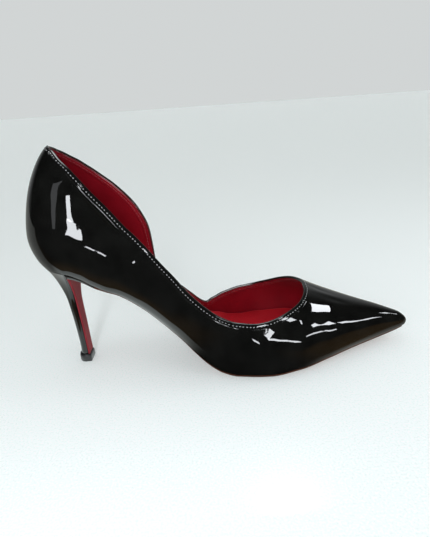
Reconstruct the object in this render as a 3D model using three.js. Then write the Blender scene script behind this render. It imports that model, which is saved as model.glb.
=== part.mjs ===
// Pointed court shoe with a slender heel, right foot, open at the inner arch.
// The frame is in millimetres: +X to the toe, +Y to the inner side, +Z up.
// The origin is the middle of the tread, on the floor under the ball.
import * as THREE from "three";
import { mergeVertices } from "three/addons/utils/BufferGeometryUtils.js";

// Driving dimensions of the last
const LENGTH = 250; // back of the heel to the tip of the toe, along the floor
const TREAD_AT = 0.568; // where the tread lies along the length
const BALL_WIDTH = 74; // across the feather line at the ball
const HEEL_HEIGHT = 77; // floor to feather line at the back of the seat
const TOE_SPRING = 8.9; // rise of the bottom at the tip of the toe
const INSTEP_HEIGHT = 74; // ridge of the last above its bottom at the instep

// Walls, plates and gaps
const UPPER_WALL = 1.8;
const INSOLE_THICKNESS = 4.6; // board and padding together
const OUTSOLE_THICKNESS = 2.0;
const OUTSOLE_INSET = 1.3; // sole edge inside the feather line
const LIP_LEAN = 2.6; // how far the sole's lip at the heel leans in below
const GAP = 0.3; // between pieces that touch

// Heel and its parts
const SHAFT_FLARE = 31; // depth over which the seat narrows to the shaft
const FLARE_ALONG = 1.8; // how quickly it narrows lengthways
const FLARE_ACROSS = 2.2; // and sideways
const BREAST_COVER = 0.9; // thickness of the red cover on the heel front
const TOP_PIECE_HEIGHT = 5.6;
const TOP_PIECE_LIP = 0.5; // the top piece stands this far outside the shaft

// Faceting
const TOE_STEPS = 5;
const VAMP_STEPS = 15;
const SIDE_STEPS = 54;
const WALL_ROWS = 10;
const PLATE_STEPS = 50;
const SEAT_STEPS = 9;

// Bottom line: rise is a share of the heel's rise, spring a share of the toe spring,
// sole a share of the outsole's thickness, which swells into a lip at the heel, and
// sock a share of the insole's thickness, which thins toward the toe
const BOTTOM = [
  { at: 0.0, rise: 1.0, spring: 0, sole: 2.6, sock: 1.0 },
  { at: 0.05, rise: 0.996, spring: 0, sole: 2.6, sock: 1.0 },
  { at: 0.1, rise: 0.967, spring: 0, sole: 2.6, sock: 1.0 },
  { at: 0.135, rise: 0.912, spring: 0, sole: 2.05, sock: 1.0 },
  { at: 0.16, rise: 0.85, spring: 0, sole: 1.2, sock: 1.0 },
  { at: 0.19, rise: 0.788, spring: 0, sole: 0.65, sock: 1.0 },
  { at: 0.22, rise: 0.742, spring: 0, sole: 0.6, sock: 1.0 },
  { at: 0.27, rise: 0.617, spring: 0, sole: 0.6, sock: 1.0 },
  { at: 0.32, rise: 0.466, spring: 0, sole: 0.6, sock: 1.0 },
  { at: 0.37, rise: 0.306, spring: 0, sole: 0.7, sock: 1.0 },
  { at: 0.41, rise: 0.166, spring: 0, sole: 0.8, sock: 1.0 },
  { at: 0.44, rise: 0.079, spring: 0, sole: 0.9, sock: 1.0 },
  { at: 0.47, rise: 0.025, spring: 0, sole: 0.95, sock: 1.0 },
  { at: 0.51, rise: 0, spring: 0, sole: 1.0, sock: 1.0 },
  { at: 0.6, rise: 0, spring: 0, sole: 1.0, sock: 1.0 },
  { at: 0.67, rise: 0, spring: 0.22, sole: 1.0, sock: 1.0 },
  { at: 0.75, rise: 0, spring: 0.38, sole: 1.0, sock: 1.0 },
  { at: 0.91, rise: 0, spring: 0.68, sole: 1.0, sock: 0.62 },
  { at: 1.0, rise: 0, spring: 1.0, sole: 1.0, sock: 0.4 },
];

// Padding under the foot's inner edge: raise is a share of the insole's thickness
const PADDING = [
  { at: 0.385, raise: 0 },
  { at: 0.4, raise: 0.15 },
  { at: 0.42, raise: 0.9 },
  { at: 0.44, raise: 1.45 },
  { at: 0.465, raise: 1.65 },
  { at: 0.5, raise: 1.2 },
  { at: 0.55, raise: 0.7 },
  { at: 0.6, raise: 0.78 },
  { at: 0.67, raise: 0.75 },
  { at: 0.76, raise: 0.45 },
  { at: 0.88, raise: 0 },
];

// Sections of the last: half widths at the feather line and swell beyond it are
// shares of the ball width, crown is a share of the instep height, widest is the
// share of the crown where the wall is widest. Round is the section's exponent, and
// upright is added to it on the outer side, where the wall stands steeper
const SECTIONS = [
  { at: 0.1, lateral: 0.338, medial: 0.331, swell: 0.06, widest: 0.24, crown: 1.018, round: 1.58, upright: 0 },
  { at: 0.19, lateral: 0.315, medial: 0.277, swell: 0.068, widest: 0.2, crown: 1.15, round: 1.6, upright: 0 },
  { at: 0.27, lateral: 0.297, medial: 0.223, swell: 0.07, widest: 0.18, crown: 1.105, round: 1.65, upright: 0.15 },
  { at: 0.35, lateral: 0.338, medial: 0.216, swell: 0.068, widest: 0.18, crown: 1.007, round: 1.7, upright: 0.55 },
  { at: 0.43, lateral: 0.426, medial: 0.297, swell: 0.055, widest: 0.17, crown: 0.992, round: 1.8, upright: 0.9 },
  { at: 0.51, lateral: 0.507, medial: 0.42, swell: 0.048, widest: 0.15, crown: 0.909, round: 1.9, upright: 0.8 },
  { at: 0.59, lateral: 0.54, medial: 0.492, swell: 0.04, widest: 0.16, crown: 0.776, round: 1.9, upright: 0.35 },
  { at: 0.67, lateral: 0.51, medial: 0.457, swell: 0.037, widest: 0.18, crown: 0.645, round: 1.9, upright: 0 },
  { at: 0.75, lateral: 0.397, medial: 0.345, swell: 0.035, widest: 0.21, crown: 0.507, round: 1.9, upright: 0 },
  { at: 0.83, lateral: 0.266, medial: 0.222, swell: 0.03, widest: 0.25, crown: 0.378, round: 1.9, upright: 0 },
  { at: 0.91, lateral: 0.15, medial: 0.13, swell: 0.02, widest: 0.27, crown: 0.255, round: 1.95, upright: 0 },
  { at: 0.97, lateral: 0.073, medial: 0.069, swell: 0.012, widest: 0.25, crown: 0.147, round: 2.0, upright: 0 },
];

// Topline on each side: height is a share of the crown, 1 where it meets the ridge
const THROAT_AT = 0.7045;
const TOPLINE = {
  lateral: [
    { at: 0.075, height: 0.985 },
    { at: 0.102, height: 0.957 },
    { at: 0.126, height: 0.878 },
    { at: 0.15, height: 0.816 },
    { at: 0.19, height: 0.722 },
    { at: 0.23, height: 0.652 },
    { at: 0.27, height: 0.611 },
    { at: 0.315, height: 0.603 },
    { at: 0.36, height: 0.585 },
    { at: 0.4, height: 0.562 },
    { at: 0.45, height: 0.563 },
    { at: 0.5, height: 0.567 },
    { at: 0.53, height: 0.576 },
    { at: 0.555, height: 0.592 },
    { at: 0.58, height: 0.624 },
    { at: 0.61, height: 0.677 },
    { at: 0.64, height: 0.735 },
    { at: 0.663, height: 0.791 },
    { at: 0.683, height: 0.864 },
    { at: 0.696, height: 0.93 },
    { at: 0.703, height: 0.978 },
    { at: THROAT_AT, height: 1.0 },
  ],
  medial: [
    { at: 0.075, height: 0.985 },
    { at: 0.1, height: 0.937 },
    { at: 0.126, height: 0.874 },
    { at: 0.15, height: 0.835 },
    { at: 0.19, height: 0.784 },
    { at: 0.23, height: 0.748 },
    { at: 0.256, height: 0.732 },
    { at: 0.27, height: 0.713 },
    { at: 0.28, height: 0.683 },
    { at: 0.288, height: 0.65 },
    { at: 0.294, height: 0.612 },
    { at: 0.2972, height: 0.555 },
    { at: 0.299, height: 0.46 },
    { at: 0.3005, height: 0.33 },
    { at: 0.3025, height: 0.2 },
    { at: 0.306, height: 0.14 },
    { at: 0.313, height: 0.128 },
    { at: 0.33, height: 0.172 },
    { at: 0.35, height: 0.215 },
    { at: 0.37, height: 0.229 },
    { at: 0.395, height: 0.229 },
    { at: 0.415, height: 0.221 },
    { at: 0.43, height: 0.228 },
    { at: 0.453, height: 0.309 },
    { at: 0.48, height: 0.391 },
    { at: 0.506, height: 0.446 },
    { at: 0.53, height: 0.485 },
    { at: 0.556, height: 0.52 },
    { at: 0.581, height: 0.569 },
    { at: 0.608, height: 0.643 },
    { at: 0.632, height: 0.711 },
    { at: 0.655, height: 0.788 },
    { at: 0.675, height: 0.868 },
    { at: 0.692, height: 0.943 },
    { at: 0.701, height: 0.984 },
    { at: THROAT_AT, height: 1.0 },
  ],
};

// Heel shaft: up is a share of the heel height, back and front are shares of the
// length behind the tread, half is a half width as a share of the ball width
const SHAFT = [
  { up: 0.0, back: 0.5015, front: 0.4695, half: 0.068 },
  { up: 0.15, back: 0.4965, front: 0.471, half: 0.068 },
  { up: 0.35, back: 0.499, front: 0.4725, half: 0.071 },
  { up: 0.6, back: 0.505, front: 0.4755, half: 0.082 },
  { up: 0.8, back: 0.511, front: 0.477, half: 0.092 },
  { up: 1.0, back: 0.513, front: 0.477, half: 0.1 },
];

const BACK_X = -TREAD_AT * LENGTH;
const PLATE = OUTSOLE_THICKNESS + GAP; // the feather line above the floor at the tread
const xAt = (at) => BACK_X + at * LENGTH;
const atX = (x) => (x - BACK_X) / LENGTH;
const lerp = THREE.MathUtils.lerp;

// Monotone cubic through a table's column, held flat beyond its ends
function column(table, key, by = "at") {
  const xs = table.map((row) => row[by]);
  const ys = table.map((row) => row[key]);
  const slopes = xs.slice(1).map((x, i) => (ys[i + 1] - ys[i]) / (x - xs[i]));
  const tangents = xs.map((_, i) => {
    const before = slopes[i - 1] ?? 0;
    const after = slopes[i] ?? 0;
    return before * after <= 0 ? 0 : (2 * before * after) / (before + after);
  });
  tangents[0] = slopes[0];
  tangents[xs.length - 1] = slopes[xs.length - 2];
  return (x) => {
    if (x <= xs[0]) return ys[0];
    if (x >= xs[xs.length - 1]) return ys[xs.length - 1];
    const i = xs.findIndex((next) => next > x) - 1;
    const width = xs[i + 1] - xs[i];
    const t = (x - xs[i]) / width;
    const a = 2 * t ** 3 - 3 * t ** 2 + 1;
    const b = t ** 3 - 2 * t ** 2 + t;
    const c = 3 * t ** 2 - 2 * t ** 3;
    const d = t ** 3 - t ** 2;
    return a * ys[i] + b * width * tangents[i] + c * ys[i + 1] + d * width * tangents[i + 1];
  };
}

const riseAt = column(BOTTOM, "rise");
const springAt = column(BOTTOM, "spring");
const soleAt = column(BOTTOM, "sole");
const sockAt = column(BOTTOM, "sock");
const raiseAt = column(PADDING, "raise");
const sectionOf = Object.fromEntries(
  ["lateral", "medial", "swell", "widest", "crown", "round", "upright"].map((key) => [
    key,
    column(SECTIONS, key),
  ]),
);
const toplineOf = {
  lateral: column(TOPLINE.lateral, "height"),
  medial: column(TOPLINE.medial, "height"),
};

// Height of the feather line above the floor
function featherZ(x) {
  const at = atX(x);
  return PLATE + (HEEL_HEIGHT - PLATE) * riseAt(at) + TOE_SPRING * springAt(at);
}

// Height that sets a gap square to the feather line, which slopes under the arch
function squareGap(x) {
  const slope = featherZ(x + 0.5) - featherZ(x - 0.5);
  return GAP * Math.hypot(1, slope);
}

// The last has a straight stretch of sections across it, and a round cap of ribs
// at the toe and at the heel, which fan about a centre on the middle line
const TOE_CENTRE = xAt(SECTIONS[SECTIONS.length - 1].at);
const HEEL_CENTRE = xAt(SECTIONS[0].at);
const TOE_REACH = xAt(1) - TOE_CENTRE;
const HEEL_REACH = HEEL_CENTRE - BACK_X;
const HEEL_SWELL = 0.092 * BALL_WIDTH; // swell of the counter behind the seat
const TOE_SLOPE = 0.4; // how fast the outline closes in where the toe cap starts
const TOE_FALL = 0.4; // how fast the ridge falls there

// Reach of a cap's outline at a turn from the middle line: ahead at 0, beside at 90 degrees
function capReach(turn, ahead, beside, slope) {
  const c = Math.cos(turn);
  const s = Math.sin(turn);
  const lean = (slope / beside ** 2) * 2 * s ** 3 * c;
  return 1 / Math.sqrt((c / ahead) ** 2 + (s / beside) ** 2 + lean);
}

// A rib of the last: where it starts, which way it faces, and its profile
function makeRib(side, x, turn) {
  const sign = side === "lateral" ? -1 : 1;
  const at = atX(x);
  const half = sectionOf[side](at) * BALL_WIDTH;
  const swell = sectionOf.swell(at) * BALL_WIDTH;
  const rib = { x, sign, dirX: 0, dirY: sign, foot: half, widest: half + swell };
  if (turn !== null) {
    const toe = x === TOE_CENTRE;
    const ahead = toe ? TOE_REACH - swell : HEEL_REACH - HEEL_SWELL;
    const capSwell = toe ? swell : lerp(HEEL_SWELL, swell, Math.sin(turn) ** 2);
    rib.dirX = (toe ? 1 : -1) * Math.cos(turn);
    rib.dirY = sign * Math.sin(turn);
    rib.foot = capReach(turn, ahead, half, toe ? TOE_SLOPE : 0);
    rib.widest = rib.foot + capSwell;
  }
  rib.round = sectionOf.round(at) + (side === "lateral" ? sectionOf.upright(at) : 0);
  rib.footZ = featherZ(x + rib.dirX * rib.foot);
  rib.ridgeZ = featherZ(x) + sectionOf.crown(at) * INSTEP_HEIGHT;
  rib.widestZ = lerp(featherZ(x), rib.ridgeZ, sectionOf.widest(at)) - featherZ(x) + rib.footZ;
  rib.fall = turn !== null && x === TOE_CENTRE ? TOE_FALL * rib.dirX : 0;
  return rib;
}

// Point on a rib: climb 0 is the feather line, SHOULDER the widest place, 1 the ridge
const SHOULDER = 0.22;
const UNDERCUT = 1.6; // 1 rounds the wall under to the feather line, 2 leaves it straight
function ribPoint(rib, climb) {
  let reach;
  let z;
  if (climb < SHOULDER) {
    const turn = (climb / SHOULDER) * (Math.PI / 2);
    reach = lerp(rib.foot, rib.widest, Math.sin(turn) ** UNDERCUT);
    z = lerp(rib.footZ, rib.widestZ, 1 - Math.cos(turn));
  } else {
    const turn = ((climb - SHOULDER) / (1 - SHOULDER)) * (Math.PI / 2);
    reach = rib.widest * Math.max(0, Math.cos(turn)) ** (2 / rib.round);
    const lift = Math.sin(turn) ** (2 / rib.round);
    z = lerp(rib.widestZ, rib.ridgeZ, lift) - rib.fall * reach * lift;
  }
  return new THREE.Vector3(rib.x + rib.dirX * reach, rib.dirY * reach, z);
}

// Climb at which a rib meets the topline
function toplineClimb(rib) {
  const side = rib.sign < 0 ? "lateral" : "medial";
  if (rib.x + rib.dirX >= xAt(THROAT_AT)) return 1;
  let low = 0;
  let high = 1;
  for (let i = 0; i < 40; i += 1) {
    const middle = (low + high) / 2;
    const p = ribPoint(rib, middle);
    const bottom = featherZ(p.x);
    const crown = sectionOf.crown(atX(Math.max(p.x, HEEL_CENTRE))) * INSTEP_HEIGHT;
    const top = bottom + toplineOf[side](atX(p.x)) * crown;
    if (p.z < top) low = middle;
    else high = middle;
  }
  return (low + high) / 2;
}

// All the places where a rib may stand, from the tip of the toe round to the back of the heel
function ribAlong(side, place) {
  if (place < 1) return makeRib(side, TOE_CENTRE, place * (Math.PI / 2));
  if (place > 2) return makeRib(side, HEEL_CENTRE, (3 - place) * (Math.PI / 2));
  return makeRib(side, lerp(TOE_CENTRE, HEEL_CENTRE, place - 1), null);
}
const THROAT_PLACE = 1 + (TOE_CENTRE - xAt(THROAT_AT)) / (TOE_CENTRE - HEEL_CENTRE);

// Places from the throat to the back of the heel, evenly spread along feather line and topline
function sidePlaces(side, count) {
  const tries = 600;
  const places = [];
  const lengths = [0];
  let last = null;
  for (let i = 0; i <= tries; i += 1) {
    const place = lerp(THROAT_PLACE, 3, (i / tries) ** 2);
    const rib = ribAlong(side, place);
    const ends = [ribPoint(rib, 0), ribPoint(rib, i === 0 ? 1 : toplineClimb(rib))];
    if (last) {
      const step = ends[0].distanceTo(last[0]) + ends[1].distanceTo(last[1]);
      lengths.push(lengths[i - 1] + step);
    }
    places.push(place);
    last = ends;
  }
  const total = lengths[tries];
  return Array.from({ length: count + 1 }, (_, k) => {
    if (k === 0) return THROAT_PLACE;
    if (k === count) return 3;
    const goal = (k / count) * total;
    const i = lengths.findIndex((length) => length >= goal);
    const t = (goal - lengths[i - 1]) / (lengths[i] - lengths[i - 1]);
    return lerp(places[i - 1], places[i], t);
  });
}

// A grid of points as a closed solid: the rows run along it, and it may close on itself
function solidBetween(outer, inner, closed) {
  const rows = outer[0].length;
  const positions = [];
  const indices = [];
  const number = new Map();
  const add = (p) => {
    if (!number.has(p)) {
      number.set(p, positions.length / 3);
      positions.push(p.x, p.y, p.z);
    }
    return number.get(p);
  };
  const quad = (a, b, c, d) => {
    indices.push(add(a), add(b), add(c), add(a), add(c), add(d));
  };
  const spans = closed ? outer.length : outer.length - 1;
  for (let i = 0; i < spans; i += 1) {
    const o = [outer[i], outer[(i + 1) % outer.length]];
    const n = [inner[i], inner[(i + 1) % inner.length]];
    for (let j = 0; j < rows - 1; j += 1) {
      quad(o[0][j], o[1][j], o[1][j + 1], o[0][j + 1]);
      quad(n[0][j], n[0][j + 1], n[1][j + 1], n[1][j]);
    }
    quad(o[0][0], n[0][0], n[1][0], o[1][0]);
    const top = rows - 1;
    quad(o[0][top], o[1][top], n[1][top], n[0][top]);
  }
  if (!closed) {
    for (let j = 0; j < rows - 1; j += 1) {
      const end = outer.length - 1;
      quad(outer[0][j], outer[0][j + 1], inner[0][j + 1], inner[0][j]);
      quad(outer[end][j], inner[end][j], inner[end][j + 1], outer[end][j + 1]);
    }
  }
  return meshGeometry(positions, indices);
}

// Rings of points stacked into a closed solid with a flat fan at each end
function stackedSolid(rings) {
  const positions = rings.flat().flatMap((p) => [p.x, p.y, p.z]);
  const count = rings[0].length;
  const indices = [];
  for (let k = 0; k < rings.length - 1; k += 1) {
    for (let i = 0; i < count; i += 1) {
      const next = (i + 1) % count;
      const [a, b] = [k * count + i, k * count + next];
      const [c, d] = [(k + 1) * count + next, (k + 1) * count + i];
      indices.push(a, b, c, a, c, d);
    }
  }
  const cap = (ring, flip) => {
    const middle = new THREE.Vector3();
    rings[ring].forEach((p) => middle.add(p));
    middle.divideScalar(count);
    positions.push(middle.x, middle.y, middle.z);
    const hub = positions.length / 3 - 1;
    for (let i = 0; i < count; i += 1) {
      const [a, b] = [ring * count + i, ring * count + ((i + 1) % count)];
      if (flip) indices.push(hub, b, a);
      else indices.push(hub, a, b);
    }
  };
  cap(0, true);
  cap(rings.length - 1, false);
  return meshGeometry(positions, indices);
}

// Merges shared vertices, drops flat triangles and turns the faces outward
function meshGeometry(positions, indices) {
  const raw = new THREE.BufferGeometry();
  raw.setAttribute("position", new THREE.Float32BufferAttribute(positions, 3));
  raw.setIndex(indices);
  const merged = mergeVertices(raw, 1e-3);
  const old = Array.from(merged.index.array);
  const kept = [];
  for (let i = 0; i < old.length; i += 3) {
    const [a, b, c] = [old[i], old[i + 1], old[i + 2]];
    if (a !== b && b !== c && a !== c) kept.push(a, b, c);
  }
  const p = merged.attributes.position;
  let volume = 0;
  const [u, v, w] = [new THREE.Vector3(), new THREE.Vector3(), new THREE.Vector3()];
  for (let i = 0; i < kept.length; i += 3) {
    u.fromBufferAttribute(p, kept[i]);
    v.fromBufferAttribute(p, kept[i + 1]);
    w.fromBufferAttribute(p, kept[i + 2]);
    volume += u.dot(v.cross(w));
  }
  if (volume < 0) {
    for (let i = 0; i < kept.length; i += 3) {
      [kept[i + 1], kept[i + 2]] = [kept[i + 2], kept[i + 1]];
    }
  }
  merged.setIndex(kept);
  merged.computeVertexNormals();
  return merged;
}

// Outward direction of the last's surface at a place and climb
function surfaceNormal(side, place, climb) {
  const step = 1e-3;
  const low = Math.max(0, climb - step);
  const high = Math.min(1, climb + step);
  const up = ribPoint(ribAlong(side, place), high).sub(ribPoint(ribAlong(side, place), low));
  const before = ribPoint(ribAlong(side, Math.max(0, place - step)), climb);
  const after = ribPoint(ribAlong(side, Math.min(3, place + step)), climb);
  const along = after.sub(before);
  const normal = side === "lateral" ? up.cross(along) : along.cross(up);
  return normal.normalize();
}

// One column of the upper's wall, as outer and inner points from feather line to topline
function wallColumn(side, place, rows) {
  const rib = ribAlong(side, place);
  const top = place <= THROAT_PLACE ? 1 : toplineClimb(rib);
  const outer = [];
  const inner = [];
  for (let j = 0; j <= rows; j += 1) {
    const climb = (j / rows) * top;
    const point = ribPoint(rib, climb);
    const ridge = climb > 0.999;
    const normal = ridge ? ridgeNormal(place) : surfaceNormal(side, place, climb);
    const behind = point.clone().addScaledVector(normal, -UPPER_WALL);
    if (j === 0) {
      behind.set(point.x - rib.dirX * UPPER_WALL, point.y - rib.dirY * UPPER_WALL, point.z);
    }
    if (ridge) {
      point.y = 0;
      behind.y = 0;
    }
    outer.push(point);
    inner.push(behind);
  }
  return { outer, inner };
}

// Normal along the ridge, which lies in the middle plane
function ridgeNormal(place) {
  const from = ribPoint(ribAlong("lateral", Math.max(1, place - 0.01)), 1);
  const to = ribPoint(ribAlong("lateral", Math.max(1, place + 0.01)), 1);
  const along = from.sub(to).normalize();
  return new THREE.Vector3(-along.z, 0, along.x);
}

// The upper: one band of wall from feather line to topline, closed over the toes
function upperGeometry() {
  const vampPlaces = [];
  for (let i = 0; i < TOE_STEPS; i += 1) vampPlaces.push(i / TOE_STEPS);
  for (let i = 0; i <= VAMP_STEPS; i += 1) {
    vampPlaces.push(lerp(1, THROAT_PLACE, i / VAMP_STEPS));
  }
  const outer = [];
  const inner = [];
  const push = (side, place) => {
    const made = wallColumn(side, place, WALL_ROWS);
    outer.push(made.outer);
    inner.push(made.inner);
  };
  vampPlaces.forEach((place) => push("lateral", place));
  sidePlaces("lateral", SIDE_STEPS).slice(1).forEach((place) => push("lateral", place));
  sidePlaces("medial", SIDE_STEPS).slice(1, -1).reverse().forEach((place) => push("medial", place));
  vampPlaces.slice(1).reverse().forEach((place) => push("medial", place));
  const vampCount = vampPlaces.length;
  return bandOverRidge(outer, inner, vampCount);
}

// The band closes on itself at the toe, and its two halves weld along the ridge
function bandOverRidge(outer, inner, vampCount) {
  const count = outer.length;
  const rows = outer[0].length;
  const positions = [];
  const indices = [];
  const add = (p) => {
    positions.push(p.x, p.y, p.z);
    return positions.length / 3 - 1;
  };
  const quad = (a, b, c, d) => {
    const [i, j, k, l] = [add(a), add(b), add(c), add(d)];
    indices.push(i, j, k, i, k, l);
  };
  for (let i = 0; i < count; i += 1) {
    const next = (i + 1) % count;
    for (let j = 0; j < rows - 1; j += 1) {
      quad(outer[i][j], outer[i][j + 1], outer[next][j + 1], outer[next][j]);
      quad(inner[i][j], inner[next][j], inner[next][j + 1], inner[i][j + 1]);
    }
    quad(outer[i][0], outer[next][0], inner[next][0], inner[i][0]);
    const top = rows - 1;
    const overVamp = i < vampCount - 1 || i >= count - vampCount + 1;
    if (!overVamp) quad(outer[i][top], inner[i][top], inner[next][top], outer[next][top]);
  }
  return meshGeometry(positions, indices);
}

// Climb at which a rib has risen a given height above its feather line
function climbAt(rib, height) {
  const share = height / (rib.widestZ - rib.footZ);
  return SHOULDER * (Math.acos(1 - Math.min(1, share)) / (Math.PI / 2));
}

// Point of the last at a height above the feather line, moved inward square to the outline
function insetPoint(side, place, end, level, inset) {
  const at = (p) => {
    const rib = ribAlong(side, p);
    return ribPoint(rib, climbAt(rib, level(rib.x, side)));
  };
  const step = 1e-3;
  const along = at(Math.min(end, place + step)).sub(at(Math.max(0, place - step)));
  const size = Math.hypot(along.x, along.y) * (side === "lateral" ? 1 : -1);
  const p = at(place);
  const reach = inset(p.x) / size;
  p.x += along.y * reach;
  p.y = place === 0 || place === 3 ? 0 : p.y - along.x * reach;
  return p;
}

// A plate on the bottom line, from the toe to its last place: each face has its own
// height above the line, and its outline is the last's at some level, moved inward.
// Across the plate, 0 is its outer edge and 1 its inner edge
const PLATE_ACROSS = 6;
function plateFace(places, face) {
  const end = places[places.length - 1];
  return places.map((place) => {
    const right = insetPoint("lateral", place, end, face.level, face.inset);
    const left = insetPoint("medial", place, end, face.level, face.inset);
    return Array.from({ length: PLATE_ACROSS + 1 }, (_, k) => {
      const across = k / PLATE_ACROSS;
      const p = right.clone().lerp(left, across);
      p.z = featherZ(p.x) + face.height(p.x, across);
      return p;
    });
  });
}

function platePlaces(end) {
  const places = [];
  for (let i = 0; i < TOE_STEPS; i += 1) places.push(i / TOE_STEPS);
  for (let i = 0; i <= PLATE_STEPS; i += 1) places.push(1 + i / PLATE_STEPS);
  for (let i = 1; i <= SEAT_STEPS && end > 2; i += 1) places.push(2 + i / SEAT_STEPS);
  return places;
}

function insoleGeometry() {
  const inside = UPPER_WALL + 3 * GAP;
  const height = (x, across) => {
    const raise = raiseAt(atX(x)) * Math.max(0, 2 * across - 1) ** 2;
    return INSOLE_THICKNESS * (sockAt(atX(x)) + raise);
  };
  const level = (x, side) => height(x, side === "lateral" ? 0 : 1);
  const top = { level, inset: () => inside, height };
  const bottom = { level: () => 0, inset: () => inside + GAP, height: () => 0 };
  const places = platePlaces(3);
  return solidBetween(plateFace(places, top), plateFace(places, bottom), false);
}

function outsoleGeometry() {
  const under = (x) => -squareGap(x) - OUTSOLE_THICKNESS * soleAt(atX(x));
  const lean = (x) => OUTSOLE_INSET + LIP_LEAN * Math.max(0, soleAt(atX(x)) - 1);
  const top = { level: () => 0, inset: () => OUTSOLE_INSET, height: (x) => -squareGap(x) };
  const bottom = { level: () => 0, inset: lean, height: under };
  const places = platePlaces(2);
  return solidBetween(plateFace(places, top), plateFace(places, bottom), false);
}

// Outline of the heel seat, from the outer breast corner round the back to the inner one
const BREAST_STEPS = 4;
function seatRim() {
  const breast = HEEL_CENTRE - 2 * GAP;
  const halves = {};
  const side = (name) =>
    Array.from({ length: SEAT_STEPS + 1 }, (_, i) => {
      const p = ribPoint(ribAlong(name, 2 + i / SEAT_STEPS), 0);
      if (i > 0) return [p.x, p.y];
      halves[name] = p.y;
      return [breast, p.y];
    });
  const rim = [...side("lateral"), ...side("medial").slice(0, -1).reverse()];
  for (let i = 1; i < BREAST_STEPS; i += 1) {
    rim.push([breast, lerp(halves.medial, halves.lateral, i / BREAST_STEPS)]);
  }
  return rim;
}

const shaftOf = Object.fromEntries(
  ["back", "front", "half"].map((key) => [key, column(SHAFT, key, "up")]),
);

// The shaft's section at a height: a round back and a flat breast, one point for each rim point
function shaftSection(z, lip) {
  const up = z / HEEL_HEIGHT;
  const back = -shaftOf.back(up) * LENGTH - lip;
  const front = -shaftOf.front(up) * LENGTH - BREAST_COVER - GAP + lip;
  const half = shaftOf.half(up) * BALL_WIDTH + lip;
  const corner = 0.92 * half;
  const shoulder = lerp(front, back, 0.35);
  const points = [];
  for (let i = 0; i <= 2 * SEAT_STEPS; i += 1) {
    const turn = (Math.PI * i) / (2 * SEAT_STEPS);
    points.push([shoulder - (shoulder - back) * Math.sin(turn), -half * Math.cos(turn)]);
  }
  points[0] = [front, -corner];
  points[2 * SEAT_STEPS] = [front, corner];
  for (let i = 1; i < BREAST_STEPS; i += 1) {
    points.push([front, lerp(corner, -corner, i / BREAST_STEPS)]);
  }
  return points;
}

// The heel's side surface: ring 0 is the seat rim, the last ring the foot of the shaft
const HEEL_RINGS = 16;
const RING_SPREAD = 1.5; // packs the rings toward the seat
function heelRing(share) {
  const rim = seatRim();
  return rim.map(([x, y], i) => {
    const rimZ = featherZ(x) - squareGap(x);
    const footZ = TOP_PIECE_HEIGHT + GAP;
    const z = lerp(rimZ, footZ, share ** RING_SPREAD);
    const depth = Math.max(0, 1 - (rimZ - z) / SHAFT_FLARE);
    const [sx, sy] = shaftSection(z, 0)[i];
    const [tx, ty] = shaftSection(rimZ, 0)[i];
    const along = (x - tx) * depth ** FLARE_ALONG;
    const across = (y - ty) * depth ** FLARE_ACROSS;
    return new THREE.Vector3(sx + along, sy + across, z);
  });
}

function heelGeometry() {
  const rings = Array.from({ length: HEEL_RINGS + 1 }, (_, k) => heelRing(k / HEEL_RINGS));
  return stackedSolid(rings);
}

// The red cover that lines the heel's flat front
function breastCoverGeometry() {
  const count = seatRim().length;
  const columns = [0, ...Array.from({ length: BREAST_STEPS }, (_, i) => count - 1 - i)];
  const lip = OUTSOLE_THICKNESS * soleAt(atX(HEEL_CENTRE)) + 2 * GAP;
  const start = (lip / (featherZ(HEEL_CENTRE) - TOP_PIECE_HEIGHT)) ** (1 / RING_SPREAD);
  const rings = Array.from({ length: HEEL_RINGS + 1 }, (_, k) =>
    heelRing(lerp(start, 1, k / HEEL_RINGS)),
  );
  const layer = (ahead) =>
    columns.map((i) =>
      rings.map((ring) => {
        const p = ring[i === count ? 0 : i];
        return new THREE.Vector3(p.x + ahead, p.y, p.z);
      }),
    );
  return solidBetween(layer(GAP + BREAST_COVER), layer(GAP), false);
}

function topPieceGeometry() {
  const levels = [
    { z: TOP_PIECE_HEIGHT, lip: 0 },
    { z: 0.7 * TOP_PIECE_HEIGHT, lip: TOP_PIECE_LIP },
    { z: 0.06 * TOP_PIECE_HEIGHT, lip: TOP_PIECE_LIP },
    { z: 0, lip: 0.4 * TOP_PIECE_LIP },
  ];
  const rings = levels.map(({ z, lip }) =>
    shaftSection(0, lip).map(([x, y], i, all) => {
      const front = i === 0 || i > all.length - BREAST_STEPS - 1;
      return new THREE.Vector3(front ? x + BREAST_COVER + GAP : x, y, z);
    }),
  );
  return stackedSolid(rings);
}

const MATERIALS = {
  patent: new THREE.MeshStandardMaterial({ color: 0x0b0b0c, roughness: 0.08, metalness: 0 }),
  lining: new THREE.MeshStandardMaterial({ color: 0x9c1020, roughness: 0.5, metalness: 0 }),
  breast: new THREE.MeshStandardMaterial({ color: 0x9a2f3a, roughness: 0.35, metalness: 0 }),
  sole: new THREE.MeshStandardMaterial({ color: 0x8a5a40, roughness: 0.55, metalness: 0 }),
  topPiece: new THREE.MeshStandardMaterial({ color: 0x141414, roughness: 0.5, metalness: 0 }),
};

function piece(name, geometry, material) {
  const mesh = new THREE.Mesh(geometry, material);
  mesh.name = name;
  return mesh;
}

const shoe = new THREE.Group();
shoe.add(piece("upper", upperGeometry(), MATERIALS.patent));
shoe.add(piece("insole", insoleGeometry(), MATERIALS.lining));
shoe.add(piece("outsole", outsoleGeometry(), MATERIALS.sole));
shoe.add(piece("heel", heelGeometry(), MATERIALS.patent));
shoe.add(piece("breast_cover", breastCoverGeometry(), MATERIALS.breast));
shoe.add(piece("top_piece", topPieceGeometry(), MATERIALS.topPiece));

export default shoe;
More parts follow.
